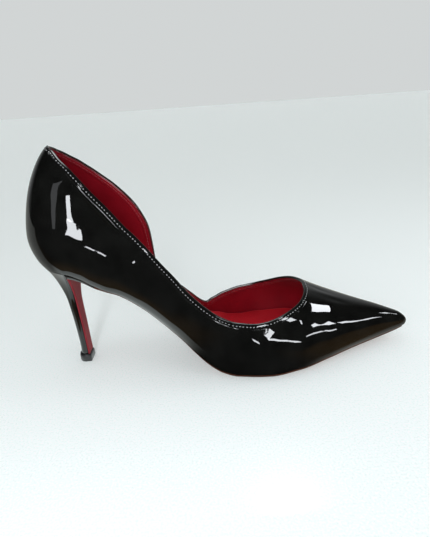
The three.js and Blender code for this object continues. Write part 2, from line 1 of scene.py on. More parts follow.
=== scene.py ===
"""Looks of a pointed court shoe with a slender heel: right foot, black patent, red inside.

Everything is in metres, in the frame of the solids: +X to the toe, +Y to the inner
side, +Z up, with the origin on the floor under the ball of the foot.
"""
import math

import bmesh
import bpy
import numpy as np
from mathutils import Matrix, Vector, bvhtree

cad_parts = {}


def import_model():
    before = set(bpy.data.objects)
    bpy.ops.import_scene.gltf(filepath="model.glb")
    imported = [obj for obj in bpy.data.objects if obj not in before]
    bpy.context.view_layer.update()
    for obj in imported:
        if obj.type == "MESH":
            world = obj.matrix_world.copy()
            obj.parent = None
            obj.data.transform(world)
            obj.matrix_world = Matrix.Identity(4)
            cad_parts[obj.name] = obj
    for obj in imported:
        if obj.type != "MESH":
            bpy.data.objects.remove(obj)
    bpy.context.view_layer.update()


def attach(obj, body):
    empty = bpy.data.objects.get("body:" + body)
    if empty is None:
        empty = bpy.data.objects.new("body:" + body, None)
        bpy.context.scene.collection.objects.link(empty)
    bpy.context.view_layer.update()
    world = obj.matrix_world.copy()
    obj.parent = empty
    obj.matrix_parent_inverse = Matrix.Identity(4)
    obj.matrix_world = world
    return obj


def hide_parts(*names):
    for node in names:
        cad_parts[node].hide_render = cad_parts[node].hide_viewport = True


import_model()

MM = 0.001

# Driving dimensions of the last
LENGTH = 250 * MM
TREAD_AT = 0.568
BALL_WIDTH = 74 * MM
HEEL_HEIGHT = 77 * MM
TOE_SPRING = 8.9 * MM
INSTEP_HEIGHT = 74 * MM

# Walls, plates and gaps
UPPER_WALL = 1.8 * MM
SKIN = 1.1 * MM
SEAM = 0.04 * MM
INSOLE_THICKNESS = 4.6 * MM
OUTSOLE_THICKNESS = 2.0 * MM
OUTSOLE_INSET = 1.3 * MM
LIP_LEAN = 2.6
GAP = 0.3 * MM

# Heel and its parts
SHAFT_FLARE = 31 * MM
FLARE_ALONG = 1.8
FLARE_ACROSS = 2.2
BREAST_COVER = 0.9 * MM
TOP_PIECE_HEIGHT = 5.6 * MM
TOP_PIECE_LIP = 0.5 * MM


def table(names, *rows):
    """Columns by name, from one row of numbers for each place."""
    return dict(zip(names.split(), np.array(rows, float).T))


# Bottom line: shares of the heel's rise, the toe spring, the sole and the sock
BOTTOM = table(
    "at rise spring sole sock",
    (0.0, 1.0, 0, 2.6, 1.0),
    (0.05, 0.996, 0, 2.6, 1.0),
    (0.1, 0.967, 0, 2.6, 1.0),
    (0.135, 0.912, 0, 2.05, 1.0),
    (0.16, 0.85, 0, 1.2, 1.0),
    (0.19, 0.788, 0, 0.65, 1.0),
    (0.22, 0.742, 0, 0.6, 1.0),
    (0.27, 0.617, 0, 0.6, 1.0),
    (0.32, 0.466, 0, 0.6, 1.0),
    (0.37, 0.306, 0, 0.7, 1.0),
    (0.41, 0.166, 0, 0.8, 1.0),
    (0.44, 0.079, 0, 0.9, 1.0),
    (0.47, 0.025, 0, 0.95, 1.0),
    (0.51, 0, 0, 1.0, 1.0),
    (0.6, 0, 0, 1.0, 1.0),
    (0.67, 0, 0.22, 1.0, 1.0),
    (0.75, 0, 0.38, 1.0, 1.0),
    (0.91, 0, 0.68, 1.0, 0.62),
    (1.0, 0, 1.0, 1.0, 0.4),
)

# Padding under the foot's inner edge: raise is a share of the insole's thickness
PADDING = table(
    "at raise",
    (0.385, 0),
    (0.4, 0.15),
    (0.42, 0.9),
    (0.44, 1.45),
    (0.465, 1.65),
    (0.5, 1.2),
    (0.55, 0.7),
    (0.6, 0.78),
    (0.67, 0.75),
    (0.76, 0.45),
    (0.88, 0),
)

# Sections: half widths and swell are shares of the ball width, crown of the instep
# height, widest of the crown. Round is the exponent of the section, and upright is
# added to it on the outer side
SECTIONS = table(
    "at lateral medial swell widest crown round upright",
    (0.1, 0.338, 0.331, 0.06, 0.24, 1.018, 1.58, 0),
    (0.19, 0.315, 0.277, 0.068, 0.2, 1.15, 1.6, 0),
    (0.27, 0.297, 0.223, 0.07, 0.18, 1.105, 1.65, 0.15),
    (0.35, 0.338, 0.216, 0.068, 0.18, 1.007, 1.7, 0.55),
    (0.43, 0.426, 0.297, 0.055, 0.17, 0.992, 1.8, 0.9),
    (0.51, 0.507, 0.42, 0.048, 0.15, 0.909, 1.9, 0.8),
    (0.59, 0.54, 0.492, 0.04, 0.16, 0.776, 1.9, 0.35),
    (0.67, 0.51, 0.457, 0.037, 0.18, 0.645, 1.9, 0),
    (0.75, 0.397, 0.345, 0.035, 0.21, 0.507, 1.9, 0),
    (0.83, 0.266, 0.222, 0.03, 0.25, 0.378, 1.9, 0),
    (0.91, 0.15, 0.13, 0.02, 0.27, 0.255, 1.95, 0),
    (0.97, 0.073, 0.069, 0.012, 0.25, 0.147, 2.0, 0),
)

# Topline on each side: height is a share of the crown, 1 where it meets the ridge
THROAT_AT = 0.7045
TOPLINE = {
    "lateral": table(
        "at height",
        (0.075, 0.985),
        (0.102, 0.957),
        (0.126, 0.878),
        (0.15, 0.816),
        (0.19, 0.722),
        (0.23, 0.652),
        (0.27, 0.611),
        (0.315, 0.603),
        (0.36, 0.585),
        (0.4, 0.562),
        (0.45, 0.563),
        (0.5, 0.567),
        (0.53, 0.576),
        (0.555, 0.592),
        (0.58, 0.624),
        (0.61, 0.677),
        (0.64, 0.735),
        (0.663, 0.791),
        (0.683, 0.864),
        (0.696, 0.93),
        (0.703, 0.978),
        (THROAT_AT, 1.0),
    ),
    "medial": table(
        "at height",
        (0.075, 0.985),
        (0.1, 0.937),
        (0.126, 0.874),
        (0.15, 0.835),
        (0.19, 0.784),
        (0.23, 0.748),
        (0.256, 0.732),
        (0.27, 0.713),
        (0.28, 0.683),
        (0.288, 0.65),
        (0.294, 0.612),
        (0.2972, 0.555),
        (0.299, 0.46),
        (0.3005, 0.33),
        (0.3025, 0.2),
        (0.306, 0.14),
        (0.313, 0.128),
        (0.33, 0.172),
        (0.35, 0.215),
        (0.37, 0.229),
        (0.395, 0.229),
        (0.415, 0.221),
        (0.43, 0.228),
        (0.453, 0.309),
        (0.48, 0.391),
        (0.506, 0.446),
        (0.53, 0.485),
        (0.556, 0.52),
        (0.581, 0.569),
        (0.608, 0.643),
        (0.632, 0.711),
        (0.655, 0.788),
        (0.675, 0.868),
        (0.692, 0.943),
        (0.701, 0.984),
        (THROAT_AT, 1.0),
    ),
}

# Heel shaft: up is a share of the heel height, back and front of the length, half of
# the ball width
SHAFT = table(
    "up back front half",
    (0.0, 0.5015, 0.4695, 0.068),
    (0.15, 0.4965, 0.471, 0.068),
    (0.35, 0.499, 0.4725, 0.071),
    (0.6, 0.505, 0.4755, 0.082),
    (0.8, 0.511, 0.477, 0.092),
    (1.0, 0.513, 0.477, 0.1),
)

BACK_X = -TREAD_AT * LENGTH
PLATE = OUTSOLE_THICKNESS + GAP
QUARTER_TURN = math.pi / 2


def x_at(at):
    return BACK_X + at * LENGTH


def at_x(x):
    return (x - BACK_X) / LENGTH


def lerp(a, b, t):
    return a + (b - a) * t


def column(rows, key, by="at"):
    """Monotone cubic through a column of a table, held flat beyond its ends."""
    xs, ys = rows[by], rows[key]
    slopes = np.diff(ys) / np.diff(xs)
    before, after = slopes[:-1], slopes[1:]
    same = before * after > 0
    total = np.where(same, before + after, 1.0)
    inner = np.where(same, 2 * before * after / total, 0.0)
    tangents = np.concatenate([slopes[:1], inner, slopes[-1:]])

    def value(x):
        x = np.clip(x, xs[0], xs[-1])
        i = np.clip(np.searchsorted(xs, x, side="right") - 1, 0, len(xs) - 2)
        width = xs[i + 1] - xs[i]
        t = (x - xs[i]) / width
        cube, square = t**3, t**2
        from_start = (2 * cube - 3 * square + 1) * ys[i]
        from_end = (3 * square - 2 * cube) * ys[i + 1]
        leaving = (cube - 2 * square + t) * width * tangents[i]
        arriving = (cube - square) * width * tangents[i + 1]
        return from_start + from_end + leaving + arriving

    return value


rise_at = column(BOTTOM, "rise")
spring_at = column(BOTTOM, "spring")
sole_at = column(BOTTOM, "sole")
sock_at = column(BOTTOM, "sock")
raise_at = column(PADDING, "raise")
section_of = {key: column(SECTIONS, key) for key in SECTIONS if key != "at"}
topline_of = {side: column(rows, "height") for side, rows in TOPLINE.items()}
shaft_of = {key: column(SHAFT, key, "up") for key in SHAFT if key != "up"}


def feather_z(x):
    """Height of the feather line, where the upper meets the sole."""
    at = at_x(x)
    return PLATE + (HEEL_HEIGHT - PLATE) * rise_at(at) + TOE_SPRING * spring_at(at)


def square_gap(x):
    """The gap's height where the feather line slopes."""
    step = 0.5 * MM
    slope = (feather_z(x + step) - feather_z(x - step)) / (2 * step)
    return GAP * np.hypot(1, slope)


TOE_CENTRE = x_at(SECTIONS["at"][-1])
HEEL_CENTRE = x_at(SECTIONS["at"][0])
TOE_REACH = x_at(1) - TOE_CENTRE
HEEL_REACH = HEEL_CENTRE - BACK_X
HEEL_SWELL = 0.092 * BALL_WIDTH
TOE_SLOPE = 0.4
TOE_FALL = 0.4
SHOULDER = 0.22
UNDERCUT = 1.6
THROAT_PLACE = 1 + (TOE_CENTRE - x_at(THROAT_AT)) / (TOE_CENTRE - HEEL_CENTRE)

# How finely a rib or an edge is searched, and the small steps that give its direction
TRIES = 900
PLACE_STEP = 1e-3
RIDGE_STEP = 0.01


def cap_reach(turn, ahead, beside, slope):
    """Reach of a round cap's outline at a turn from the middle line."""
    c, s = math.cos(turn), math.sin(turn)
    lean = 2 * slope * s**3 * c / beside**2
    return 1 / math.sqrt((c / ahead) ** 2 + (s / beside) ** 2 + lean)


class Rib:
    """One rib of the last: place 0 to 1 fans round the toe, 1 to 2 runs back along
    the shoe, and 2 to 3 fans round the heel."""

    def __init__(self, side, place):
        self.side = side
        self.sign = -1 if side == "lateral" else 1
        self.toe = place < 1
        capped = self.toe or place > 2
        if self.toe:
            self.x = TOE_CENTRE
        else:
            self.x = lerp(TOE_CENTRE, HEEL_CENTRE, min(place, 2) - 1)
        at = at_x(self.x)
        half = section_of[side](at) * BALL_WIDTH
        swell = section_of["swell"](at) * BALL_WIDTH
        self.dir_x, self.dir_y = 0, self.sign
        self.foot, self.widest = half, half + swell
        if capped:
            turn = (place if self.toe else 3 - place) * QUARTER_TURN
            ahead = TOE_REACH - swell if self.toe else HEEL_REACH - HEEL_SWELL
            cap_swell = swell if self.toe else lerp(HEEL_SWELL, swell, math.sin(turn) ** 2)
            self.dir_x = math.cos(turn) * (1 if self.toe else -1)
            self.dir_y = self.sign * math.sin(turn)
            self.foot = cap_reach(turn, ahead, half, TOE_SLOPE if self.toe else 0)
            self.widest = self.foot + cap_swell
        upright = section_of["upright"](at) if side == "lateral" else 0
        self.round = section_of["round"](at) + upright
        self.foot_z = feather_z(self.x + self.dir_x * self.foot)
        self.ridge_z = feather_z(self.x) + section_of["crown"](at) * INSTEP_HEIGHT
        widest_z = lerp(feather_z(self.x), self.ridge_z, section_of["widest"](at))
        self.widest_z = widest_z - feather_z(self.x) + self.foot_z
        self.fall = TOE_FALL * self.dir_x if self.toe else 0

    def points(self, climbs):
        """Points of the rib: climb 0 is the feather line and 1 the ridge."""
        climbs = np.asarray(climbs, float)
        low = np.clip(climbs / SHOULDER, 0, 1) * QUARTER_TURN
        high = np.clip((climbs - SHOULDER) / (1 - SHOULDER), 0, 1) * QUARTER_TURN
        power = 2 / self.round
        lift = np.sin(high) ** power
        top_reach = self.widest * np.clip(np.cos(high), 0, 1) ** power
        top_z = lerp(self.widest_z, self.ridge_z, lift) - self.fall * top_reach * lift
        under = climbs < SHOULDER
        low_reach = lerp(self.foot, self.widest, np.sin(low) ** UNDERCUT)
        reach = np.where(under, low_reach, top_reach)
        z = np.where(under, lerp(self.foot_z, self.widest_z, 1 - np.cos(low)), top_z)
        return np.stack([self.x + self.dir_x * reach, self.dir_y * reach, z], -1)

    def topline_climb(self):
        """Climb at which the rib meets the topline."""
        if self.x + self.dir_x * MM >= x_at(THROAT_AT):
            return 1.0
        climbs = np.linspace(0, 1, TRIES)
        p = self.points(climbs)
        crown = section_of["crown"](at_x(np.maximum(p[:, 0], HEEL_CENTRE))) * INSTEP_HEIGHT
        height = topline_of[self.side](at_x(p[:, 0])) * crown
        over = p[:, 2] - feather_z(p[:, 0]) - height
        above = np.nonzero(over >= 0)[0]
        if len(above) == 0:
            return 1.0
        i = max(1, above[0])
        share = over[i - 1] / (over[i - 1] - over[i])
        return float(lerp(climbs[i - 1], climbs[i], share))


def side_places(side, count):
    """Places from the throat to the back of the heel, evenly along both edges."""
    tries = lerp(THROAT_PLACE, 3, np.linspace(0, 1, TRIES) ** 2)
    ends = []
    for i, place in enumerate(tries):
        rib = Rib(side, place)
        ends.append(rib.points([0, 1 if i == 0 else rib.topline_climb()]))
    steps = np.linalg.norm(np.diff(np.array(ends), axis=0), axis=2).sum(1)
    lengths = np.concatenate([[0], np.cumsum(steps)])
    return np.interp(np.linspace(0, lengths[-1], count + 1), lengths, tries)


def unit(v):
    return v / np.maximum(np.linalg.norm(v, axis=-1, keepdims=True), 1e-12)


def ridge_normal(place):
    """Normal on the ridge, which lies in the middle plane."""
    before = Rib("lateral", max(1, place - RIDGE_STEP)).points([1])[0]
    after = Rib("lateral", max(1, place + RIDGE_STEP)).points([1])[0]
    along = unit(before - after)
    return np.array([-along[2], 0, along[0]])


def wall_column(side, place, rows, over_ridge):
    """Points and outward normals of one column of the wall, from the feather line up."""
    rib = Rib(side, place)
    top = 1.0 if over_ridge else rib.topline_climb()
    climbs = np.linspace(0, 1, rows + 1) * top
    points = rib.points(climbs)
    above = rib.points(np.minimum(1, climbs + PLACE_STEP))
    below = rib.points(np.maximum(0, climbs - PLACE_STEP))
    after = Rib(side, min(3, place + PLACE_STEP)).points(climbs)
    before = Rib(side, max(0, place - PLACE_STEP)).points(climbs)
    across = np.cross(above - below, after - before)
    normals = unit(across if side == "lateral" else -across)
    normals[0] = (rib.dir_x, rib.dir_y, 0)
    if over_ridge:
        points[-1, 1] = 0
        normals[-1] = ridge_normal(place)
    points = points + normals * unevenness(points)[:, None]
    return points, normals


# Slow waves that settle in lasted leather: how often in radians a metre, and how high
WAVES = table(
    "x y z high",
    (190, 60, 160, 0.05 * MM),
    (-120, 90, 250, 0.045 * MM),
    (330, -90, 120, 0.012 * MM),
    (-520, 150, 560, 0.005 * MM),
)

# Folds pressed into the leather: middle, direction, half length, half width, and height,
# which is negative for a trough, in mm
FOLDS = table(
    "x y z along_x along_y along_z long wide high",
    # at the waist
    (-48, -27, 84, 0.8, 0.0, -0.6, 5.0, 1.7, 0.35),
    (-45, -28, 78, 0.7, 0.0, -0.7, 6.0, 1.6, -0.35),
    (-52, -27, 84, 0.6, 0.0, -0.8, 7.0, 1.8, 0.2),
    # on the vamp
    (44, -4, 44, 1.0, -0.1, -0.35, 9.0, 1.6, -0.3),
    (47, -8, 42, 1.0, 0.12, -0.45, 12.0, 1.7, 0.25),
    (54, -11, 38, 1.0, 0.2, -0.45, 9.0, 1.8, -0.2),
    (50, 8, 42, 1.0, 0.1, -0.42, 12.0, 1.7, -0.3),
    # on the quarter, which swells over the heel
    (-110, -24, 106, 0.1, 0.0, 1.0, 34.0, 16.0, 0.6),
    (-104, -24, 112, 0.0, 0.27, 1.0, 16.0, 5.0, 0.06),
    (-97, -25, 104, 0.0, 0.27, 1.0, 20.0, 9.0, 0.16),
    (-80, -26, 90, 0.4, 0.1, 1.0, 14.0, 12.0, 0.15),
    (-111, -26, 105, 0.9, 0.0, 0.3, 3.0, 2.4, -0.04),
    # on the inner side, beside the ball
    (-6, 35, 20, 1.0, 0.15, 0.25, 9.0, 2.0, 0.3),
    (2, 37, 14, 1.0, 0.1, -0.2, 8.0, 2.2, -0.3),
)

# Waves and folds grow to their full height over this rise above the sole
WAVES_FADE = 8 * MM


def unevenness(points):
    """Height of the waves and folds at each point, which fade out at the sole."""
    out = np.zeros(len(points))
    for x, y, z, high in zip(*WAVES.values()):
        out += high * np.sin(points @ np.array([x, y, z]))
    middles = np.stack([FOLDS[key] for key in ("x", "y", "z")], 1) * MM
    lies = unit(np.stack([FOLDS[key] for key in ("along_x", "along_y", "along_z")], 1))
    longs, wides, highs = (FOLDS[key] * MM for key in ("long", "wide", "high"))
    for middle, lie, long, wide, high in zip(middles, lies, longs, wides, highs):
        away = points - middle
        slide = away @ lie
        aside = np.linalg.norm(away - slide[:, None] * lie, axis=1)
        out += high * np.exp(-((slide / long) ** 2) - (aside / wide) ** 2)
    above = np.clip((points[:, 2] - feather_z(points[:, 0])) / WAVES_FADE, 0, 1)
    return out * above * above * (3 - 2 * above)


# Steps of the wall: round the toe, along the vamp, along each side, and up
TOE_STEPS = 26
VAMP_STEPS = 90
SIDE_STEPS = 250
WALL_ROWS = 56


def wall_grid():
    """The whole wall as a band of columns round the shoe, and which columns close
    over the ridge."""
    toe = np.arange(TOE_STEPS) / TOE_STEPS
    vamp = list(toe) + list(np.linspace(1, THROAT_PLACE, VAMP_STEPS + 1))
    columns = [("lateral", p, True) for p in vamp]
    columns += [("lateral", p, False) for p in side_places("lateral", SIDE_STEPS)[1:]]
    columns += [("medial", p, False) for p in side_places("medial", SIDE_STEPS)[-2:0:-1]]
    columns += [("medial", p, True) for p in vamp[:0:-1]]
    made = [wall_column(side, place, WALL_ROWS, over) for side, place, over in columns]
    points = np.array([m[0] for m in made])
    normals = np.array([m[1] for m in made])
    return points, normals, np.array([c[2] for c in columns])


def material_nodes(name):
    made = bpy.data.materials.new(name)
    made.use_nodes = True
    nodes = made.node_tree.nodes
    return made, nodes, made.node_tree.links, nodes["Principled BSDF"]


def place_of(nodes):
    """Object coordinates, which are the shoe's own frame in metres."""
    return nodes.new("ShaderNodeTexCoord").outputs["Object"]


def noise(nodes, links, scale, detail=3.0):
    made = nodes.new("ShaderNodeTexNoise")
    made.inputs["Scale"].default_value = scale
    made.inputs["Detail"].default_value = detail
    links.new(place_of(nodes), made.inputs["Vector"])
    return made.outputs["Fac"]


def ramp(nodes, links, source, *stops):
    made = nodes.new("ShaderNodeValToRGB")
    made.color_ramp.elements[0].position = stops[0][0]
    made.color_ramp.elements[0].color = (*stops[0][1], 1)
    made.color_ramp.elements[1].position = stops[-1][0]
    made.color_ramp.elements[1].color = (*stops[-1][1], 1)
    for position, colour in stops[1:-1]:
        element = made.color_ramp.elements.new(position)
        element.color = (*colour, 1)
    links.new(source, made.inputs["Fac"])
    return made.outputs["Color"]


def bump(nodes, links, source, shader, distance):
    made = nodes.new("ShaderNodeBump")
    made.inputs["Distance"].default_value = distance
    made.inputs["Strength"].default_value = 1.0
    links.new(source, made.inputs["Height"])
    links.new(made.outputs["Normal"], shader.inputs["Normal"])
    return made.outputs["Normal"]


# Patent: the two tones of its base, how fine its clouds and ripples are, and how high
# the ripples
PATENT_DARK = (0.003, 0.003, 0.0028)
PATENT_LIGHT = (0.006, 0.006, 0.0055)
PATENT_CLOUDS = 90
PATENT_RIPPLES = 260
PATENT_RIPPLE = 0.008 * MM


def patent(name):
    """Black patent leather: a dull black base under a clear, slightly uneven coat."""
    made, nodes, links, shader = material_nodes(name)
    clouds = noise(nodes, links, PATENT_CLOUDS)
    tone = ramp(nodes, links, clouds, (0.3, PATENT_DARK), (0.7, PATENT_LIGHT))
    links.new(tone, shader.inputs["Base Color"])
    shader.inputs["Roughness"].default_value = 0.5
    shader.inputs["Specular IOR Level"].default_value = 0.0
    shader.inputs["Coat Weight"].default_value = 1.0
    shader.inputs["Coat Roughness"].default_value = 0.02
    shader.inputs["Coat IOR"].default_value = 1.5
    ripples = noise(nodes, links, PATENT_RIPPLES, 2.0)
    uneven = bump(nodes, links, ripples, shader, PATENT_RIPPLE)
    links.new(uneven, shader.inputs["Coat Normal"])
    return made


# Smooth leather: how fine its clouds and its grain are, and how deep the grain
LEATHER_CLOUDS = 60
LEATHER_CELLS = 1400
LEATHER_GRAIN = 0.02 * MM


def soft_leather(name, dark, light, rough, specular, sheen=0.0):
    """Smooth leather with a fine grain and cloudy colour."""
    made, nodes, links, shader = material_nodes(name)
    clouds = noise(nodes, links, LEATHER_CLOUDS)
    tone = ramp(nodes, links, clouds, (0.3, dark), (0.72, light))
    links.new(tone, shader.inputs["Base Color"])
    shader.inputs["Roughness"].default_value = rough
    shader.inputs["Specular IOR Level"].default_value = specular
    shader.inputs["Sheen Weight"].default_value = sheen
    shader.inputs["Sheen Roughness"].default_value = 0.4
    cells = nodes.new("ShaderNodeTexVoronoi")
    cells.inputs["Scale"].default_value = LEATHER_CELLS
    links.new(place_of(nodes), cells.inputs["Vector"])
    bump(nodes, links, cells.outputs["Distance"], shader, LEATHER_GRAIN)
    return made


# Specks of a plain surface, and their tone beside its colour
PLAIN_SPECKS = 900
PLAIN_SHADE = 0.8


def plain(name, colour, rough, specular):
    """An even, finely mottled surface."""
    made, nodes, links, shader = material_nodes(name)
    darker = tuple(PLAIN_SHADE * c for c in colour)
    specks = noise(nodes, links, PLAIN_SPECKS)
    tone = ramp(nodes, links, specks, (0.3, darker), (0.7, colour))
    links.new(tone, shader.inputs["Base Color"])
    shader.inputs["Roughness"].default_value = rough
    shader.inputs["Specular IOR Level"].default_value = specular
    return made


PATENT = patent("black_patent")
LINING = soft_leather("red_lining", (0.21, 0.0035, 0.01), (0.28, 0.006, 0.015), 0.32, 0.5, 0.03)
SOCK = soft_leather("red_sock", (0.44, 0.007, 0.016), (0.56, 0.011, 0.022), 0.4, 0.3, 0.04)
BREAST = soft_leather("breast_red", (0.2, 0.02, 0.028), (0.26, 0.028, 0.036), 0.55, 0.05)
SOLE = soft_leather("sole_leather", (0.16, 0.06, 0.03), (0.24, 0.1, 0.05), 0.5, 0.2)
SOLE_EDGE = soft_leather("sole_edge", (0.05, 0.018, 0.01), (0.075, 0.028, 0.016), 0.5, 0.05)
# Grey thread: the edge stitches are black, and their lighter grey is a painted highlight that stands for
# their glints
PAINTED_GLINT_THREAD = plain("thread_painted_glints", (0.3, 0.3, 0.31), 0.4, 0.8)
RED_THREAD = plain("red_thread", (0.4, 0.1, 0.11), 0.5, 0.5)
RUBBER = plain("rubber", (0.012, 0.012, 0.013), 0.45, 0.5)


def piece(name, points, faces, material, slot, *replaced):
    """A closed mesh that rides on the shoe and stands for the named solids."""
    mesh = bpy.data.meshes.new(name)
    mesh.from_pydata(np.asarray(points).tolist(), [], faces)
    made = bpy.data.objects.new(name, mesh)
    bpy.context.scene.collection.objects.link(made)
    built = bmesh.new()
    built.from_mesh(mesh)
    bmesh.ops.remove_doubles(built, verts=built.verts, dist=1e-7)
    bmesh.ops.recalc_face_normals(built, faces=built.faces)
    built.to_mesh(mesh)
    built.free()
    mesh.shade_smooth()
    mesh.materials.append(material)
    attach(made, "root")
    if replaced:
        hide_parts(*replaced)
    return made


def band_between(outer, inner, over_ridge):
    """Faces of a closed band with an outer and an inner layer. Columns that close
    over the ridge have no top edge, because the two sides meet there."""
    count, rows = outer.shape[:2]
    points = np.concatenate([outer.reshape(-1, 3), inner.reshape(-1, 3)])
    base = count * rows
    faces = []
    for i in range(count):
        n = (i + 1) % count
        a, b = i * rows, n * rows
        for j in range(rows - 1):
            faces.append((a + j, a + j + 1, b + j + 1, b + j))
            faces.append((base + a + j, base + b + j, base + b + j + 1, base + a + j + 1))
        faces.append((a, b, base + b, base + a))
        if not (over_ridge[i] and over_ridge[n]):
            top = rows - 1
            faces.append((a + top, base + a + top, base + b + top, b + top))
    return points, faces


wall, wall_normals, wall_over = wall_grid()


def layer(depth):
    made = wall - wall_normals * depth
    made[wall_over, -1, 1] = 0
    return made


def upper_skin():
    points, faces = band_between(layer(0), layer(SKIN), wall_over)
    piece("upper_skin", points, faces, PATENT, "patent", "upper")


def upper_lining():
    points, faces = band_between(layer(SKIN + SEAM), layer(UPPER_WALL), wall_over)
    piece("upper_lining", points, faces, LINING, "insole")


upper_skin()
upper_lining()


# Spacing of the points along the topline, and how often it and its normals are smoothed
TOPLINE_STEP = 0.4 * MM
PATH_ROUNDS = 4
NORMAL_ROUNDS = 6


def topline_path():
    """The topline as a closed loop: points, outward normals and the direction in the
    wall that leaves the leather."""
    edge = np.nonzero(~wall_over)[0]
    throat = np.array([edge[0] - 1])
    order = np.concatenate([throat, edge])
    points, normals = wall[order, -1], wall_normals[order, -1]
    below = wall[order, -3]
    loop = np.concatenate([points, points[:1]])
    lengths = np.concatenate([[0], np.cumsum(np.linalg.norm(np.diff(loop, axis=0), axis=1))])
    count = int(lengths[-1] / TOPLINE_STEP)
    goals = np.linspace(0, lengths[-1], count, endpoint=False)

    def spread(values):
        closed = np.concatenate([values, values[:1]])
        return np.stack([np.interp(goals, lengths, closed[:, k]) for k in range(3)], 1)

    path = smooth_loop(spread(points), PATH_ROUNDS)
    out = unit(smooth_loop(spread(normals), NORMAL_ROUNDS))
    tangents = unit(np.roll(path, -1, 0) - np.roll(path, 1, 0))
    up = unit(np.cross(out, tangents))
    flip = np.sign(np.sum(up * (path - spread(below)), axis=1))
    up *= np.sign(flip.sum())
    out = unit(np.cross(tangents, up))
    out *= np.sign(np.sum(out * spread(normals)))
    return path, out, up


def smooth_loop(values, rounds):
    for _ in range(rounds):
        values = (np.roll(values, 1, 0) + 2 * values + np.roll(values, -1, 0)) / 4
    return values


def wall_tree():
    """The wall's outer face, in which the nearest point can be found."""
    count, rows = wall.shape[:2]
    faces = []
    for i in range(count):
        a, b = i * rows, (i + 1) % count * rows
        faces += [(a + j, a + j + 1, b + j + 1, b + j) for j in range(rows - 1)]
    return bvhtree.BVHTree.FromPolygons([tuple(p) for p in wall.reshape(-1, 3)], faces)


path, path_out, path_up = topline_path()
skin_tree = wall_tree()


def on_wall(down, height):
    """Points at a distance below the topline, and a height outside the wall."""
    height = np.broadcast_to(height, len(path))
    if down < 0:
        return path - path_up * down + path_out * height[:, None]
    made = np.empty_like(path)
    for i, start in enumerate(path - path_up * down):
        found, normal, _, _ = skin_tree.find_nearest(Vector(start))
        out = np.array(normal)
        out *= 1 if np.dot(out, path_out[i]) > 0 else -1
        made[i] = np.array(found) + out * height[i]
    return made


def loop_sweep(rails):
    """Faces of a closed tube whose section runs through the rails in turn."""
    points = np.stack(rails, 1)
    count, rows = points.shape[:2]
    faces = []
    for i in range(count):
        n = (i + 1) % count
        for j in range(rows):
            k = (j + 1) % rows
            faces.append((i * rows + j, n * rows + j, n * rows + k, i * rows + k))
    return points.reshape(-1, 3), faces


# Folded edge of the patent, which wraps over to the inside: distance below the
# topline, height outside the wall, and bead, which is added where the edge puckers
FOLD = table(
    "down height bead",
    (4.1, -0.3, 0),
    (3.95, -0.05, 0),
    (3.8, 0.03, 0.2),
    (3.6, 0.05, 0.32),
    (3.4, 0.06, 0.2),
    (3.2, 0.06, 0),
    (3.0, 0.06, 0),
    (2.6, 0.06, 0),
    (2.1, 0.03, 0),
    (1.8, 0.03, 0),
    (1.4, 0.06, 0),
    (0.9, 0.07, 0),
    (0.45, 0.04, 0),
    (0.1, -0.08, 0),
    (-0.1, -0.3, 0),
    (-0.16, -0.7, 0),
    (-0.12, -1.2, 0),
    (0.0, -1.65, 0),
    (0.2, -1.88, 0),
    (0.5, -1.95, 0),
    (0.6, -1.88, 0),
    (0.6, -0.9, 0),
    (4.0, -0.7, 0),
)

# The edge puckers on the outer side from the waist to the vamp, in uneven beads
PUCKER_FROM = -58 * MM
PUCKER_TO = 6 * MM
PUCKER_SOFT = 8 * MM
PUCKER_EVEN = 0.8
PUCKER_RIPPLE = 0.35
PUCKER_SHORT = 1.1 * MM
PUCKER_LONG = 2.9 * MM


def pucker():
    """How far the edge puckers at each point of the topline."""
    along, across = path[:, 0], path[:, 1]
    starts = np.clip((along - PUCKER_FROM) / PUCKER_SOFT, 0, 1)
    ends = np.clip((PUCKER_TO - along) / PUCKER_SOFT, 0, 1)
    ripple = PUCKER_RIPPLE * np.sin(along / PUCKER_SHORT) * np.sin(along / PUCKER_LONG)
    return np.where(across < 0, starts * ends * (PUCKER_EVEN + ripple), 0)


# Strip of lining sewn inside the edge, with its seam in a shallow groove
RIM = table(
    "down height",
    (0.5, -1.7),
    (0.62, -1.98),
    (1.0, -2.12),
    (2.0, -2.12),
    (2.5, -2.0),
    (2.8, -2.0),
    (3.3, -2.12),
    (3.9, -2.1),
    (4.3, -1.95),
    (4.4, -1.7),
    (4.4, -1.3),
    (0.5, -1.3),
)


def edge_strip(name, profile, beads, material, slot):
    """A strip swept along the topline, whose rows are raised by their beads."""
    rails = []
    for down, height, bead in zip(profile["down"], profile["height"], beads):
        rails.append(on_wall(down * MM, (height + bead) * MM))
    points, faces = loop_sweep(rails)
    piece(name, points, faces, material, slot)


edge_strip("folded_edge", FOLD, np.outer(FOLD["bead"], pucker()), PATENT, "patent")
edge_strip("lining_rim", RIM, np.zeros(len(RIM["down"])), LINING, "insole")


def stacked_rings(rings, first, last):
    """Rings stacked into a closed solid, with a fan from a point at each end."""
    count = len(rings[0])
    points = np.concatenate([*rings, [first], [last]])
    faces = []
    for k in range(len(rings) - 1):
        for i in range(count):
            n = (i + 1) % count
            faces.append((k * count + i, k * count + n, (k + 1) * count + n, (k + 1) * count + i))
    first, last = len(rings) * count, len(rings) * count + 1
    for i in range(count):
        n = (i + 1) % count
        faces.append((first, n, i))
        faces.append((last, (len(rings) - 1) * count + i, (len(rings) - 1) * count + n))
    return points, faces


# Steps round and along a stitch, and how flat it lies
STITCH_AROUND = 8
STITCH_ALONG = 5
STITCH_FLAT = 0.55


